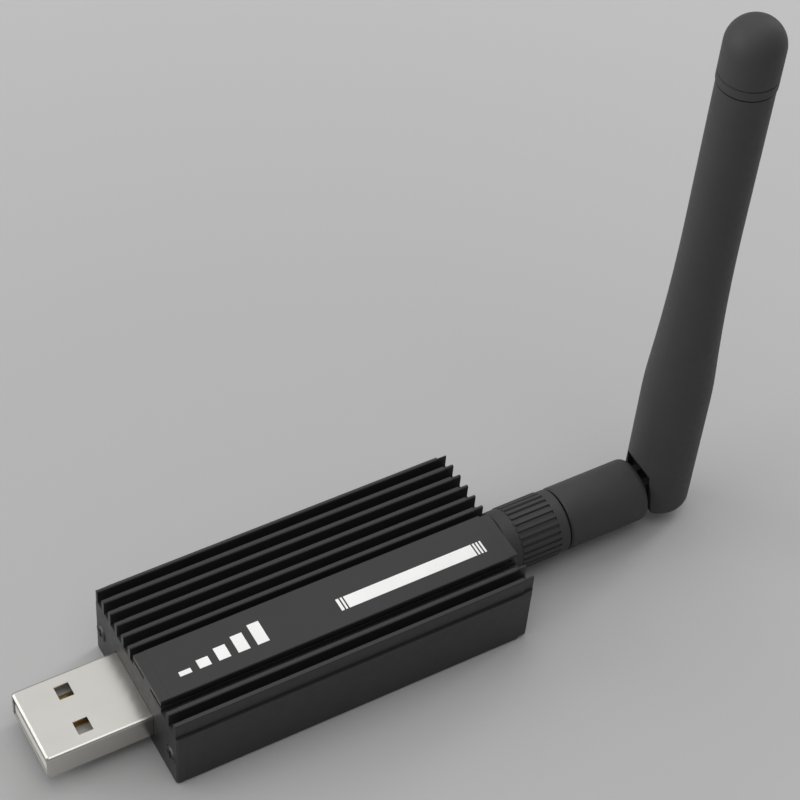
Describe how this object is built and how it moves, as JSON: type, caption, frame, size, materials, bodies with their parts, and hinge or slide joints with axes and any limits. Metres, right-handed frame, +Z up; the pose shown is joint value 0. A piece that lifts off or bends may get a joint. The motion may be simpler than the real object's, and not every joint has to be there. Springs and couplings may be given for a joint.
{
  "type": "usb radio stick",
  "caption": "Finned metal radio stick with a flat plug at one end and a fold-and-swivel whip antenna, screwed on by a ribbed nut, at the other.",
  "frame": {"origin": "centre of the housing's flat underside, without the plug and the antenna", "axes": "+X from the plug to the antenna, +Z up along the folded whip, +Y across the housing towards the side with more fins"},
  "size_m": [0.1042, 0.0254, 0.0917],
  "materials": {
    "anodised_black": "black anodised, fine satin grain",
    "blackened_steel": "black zinc plated steel",
    "bright_nickel": "satin nickel plate",
    "gold_plate": "thin gold plate",
    "spring_steel": "plain spring steel",
    "solder_mask": "green solder mask over glass laminate",
    "chip_black": "moulded chip package",
    "ceramic": "fired ceramic with tinned ends",
    "led_clear": "clear lens",
    "black_moulding": "glass-filled moulding",
    "pale_moulding": "pale glass-filled moulding",
    "white_insulator": "white insulator",
    "antenna_plastic": "fine moulded grain, semi-matte",
    "coax_jacket": "thin brown jacket"
  },
  "bodies": {
    "stick": {"housing_extrusion": "anodised_black", "usb_end_plate": "anodised_black", "antenna_end_plate": "anodised_black", "usb_end_screws": "blackened_steel", "antenna_end_screws": "blackened_steel", "circuit_board": "solder_mask", "usb_shell": "bright_nickel", "usb_insulator": "pale_moulding", "usb_contacts": "gold_plate", "radio_chip": "chip_black", "usb_bridge_chip": "chip_black", "voltage_regulator": "chip_black", "main_crystal": "bright_nickel", "clock_crystal": "bright_nickel", "status_leds": "led_clear", "chip_capacitors": "ceramic", "matching_filter": "ceramic", "boot_switch_case": "bright_nickel", "reset_switch_case": "bright_nickel", "jack_body": "gold_plate", "jack_dielectric": "white_insulator", "jack_contact": "gold_plate", "jack_lock_washer": "blackened_steel", "jack_hex_nut": "blackened_steel"},
    "boot_button": {"boot_button": "black_moulding"},
    "reset_button": {"reset_button": "black_moulding"},
    "antenna_plug": {"antenna_ferrule": "gold_plate", "antenna_plug_dielectric": "white_insulator", "antenna_plug_pin": "gold_plate", "swivel_clip": "spring_steel"},
    "coupling_nut": {"coupling_nut": "gold_plate", "nut_grip": "antenna_plastic"},
    "knuckle": {"antenna_knuckle": "antenna_plastic", "antenna_coax": "coax_jacket"},
    "whip": {"whip_sleeve": "antenna_plastic", "whip_cap": "antenna_plastic", "aerial_choke_tube": "gold_plate", "aerial_radiator": "gold_plate", "aerial_spacers": "white_insulator"}
  },
  "joints": [
    {"name": "antenna_unscrew", "type": "slide", "parent": "stick", "child": "antenna_plug", "axis": [1, 0, 0], "range_m": [0, 0.0039]},
    {"name": "coupling_nut_turn", "type": "hinge", "parent": "antenna_plug", "child": "coupling_nut", "pos_m": [0.0345, 0, 0.0054], "axis": [1, 0, 0], "range_deg": [0, 1990.8]},
    {"name": "antenna_swivel", "type": "hinge", "parent": "antenna_plug", "child": "knuckle", "pos_m": [0.0435, 0, 0.0054], "axis": [1, 0, 0], "continuous": true},
    {"name": "whip_fold", "type": "hinge", "parent": "knuckle", "child": "whip", "pos_m": [0.05685, 0, 0.0054], "axis": [0, 1, 0], "range_deg": [0, 90], "deforming": ["antenna_coax"]},
    {"name": "boot_button_press", "type": "slide", "parent": "stick", "child": "boot_button", "axis": [0, 0, -1], "range_m": [0, 0.00025], "stiffness_N_per_m": 400},
    {"name": "reset_button_press", "type": "slide", "parent": "stick", "child": "reset_button", "axis": [0, 0, -1], "range_m": [0, 0.00025], "stiffness_N_per_m": 400}
  ],
  "couplings": [
    {"joint": "coupling_nut_turn", "follows": "antenna_unscrew", "rad_per_m": 8904.7}
  ]
}
